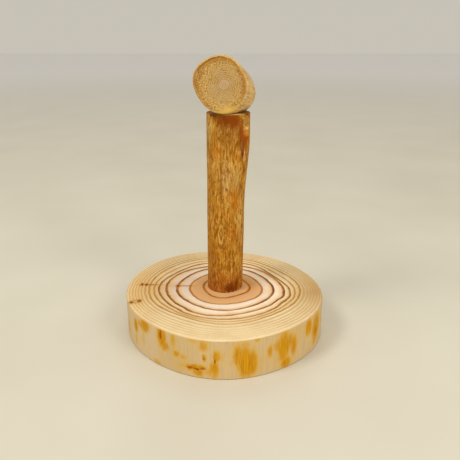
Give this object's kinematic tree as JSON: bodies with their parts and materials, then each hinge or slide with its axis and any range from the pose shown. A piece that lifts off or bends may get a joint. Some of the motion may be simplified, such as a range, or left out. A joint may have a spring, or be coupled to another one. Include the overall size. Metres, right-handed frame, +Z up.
{
  "type": "paper towel holder",
  "caption": "Upright roll holder of barkless natural wood: a thick round log slice, a branch as the spindle and a short log stub across its top that lifts off to load a roll.",
  "frame": {"origin": "on the counter, at the middle of the round slab's underside", "axes": "+Z up along the standing branch, -Y to the front, where the stub's end grain faces"},
  "size_m": [0.1804, 0.1802, 0.2438],
  "materials": {
    "slab_wood": "sanded softwood, growth rings on top, ochre inner-bark stains round the side",
    "stem_wood": "clear-oiled debarked branch, streaked golden brown",
    "head_wood": "sanded end grain with fine rings",
    "dowel_wood": "plain smooth dowel",
    "zinc_steel": "zinc-plated steel"
  },
  "bodies": {
    "stand": {"base_slab": "slab_wood", "stem": "stem_wood", "stem_screw": "zinc_steel", "screw_washer": "zinc_steel"},
    "peg": {"head_peg": "dowel_wood"},
    "knob": {"head": "head_wood"}
  },
  "joints": [
    {"name": "head_lift", "type": "slide", "parent": "stand", "child": "peg", "axis": [0, 0, 1], "range_m": [0, 0.04]},
    {"name": "head_turn", "type": "hinge", "parent": "peg", "child": "knob", "pos_m": [0.003, 0.008, 0.197], "axis": [0, 0, 1], "continuous": true}
  ]
}
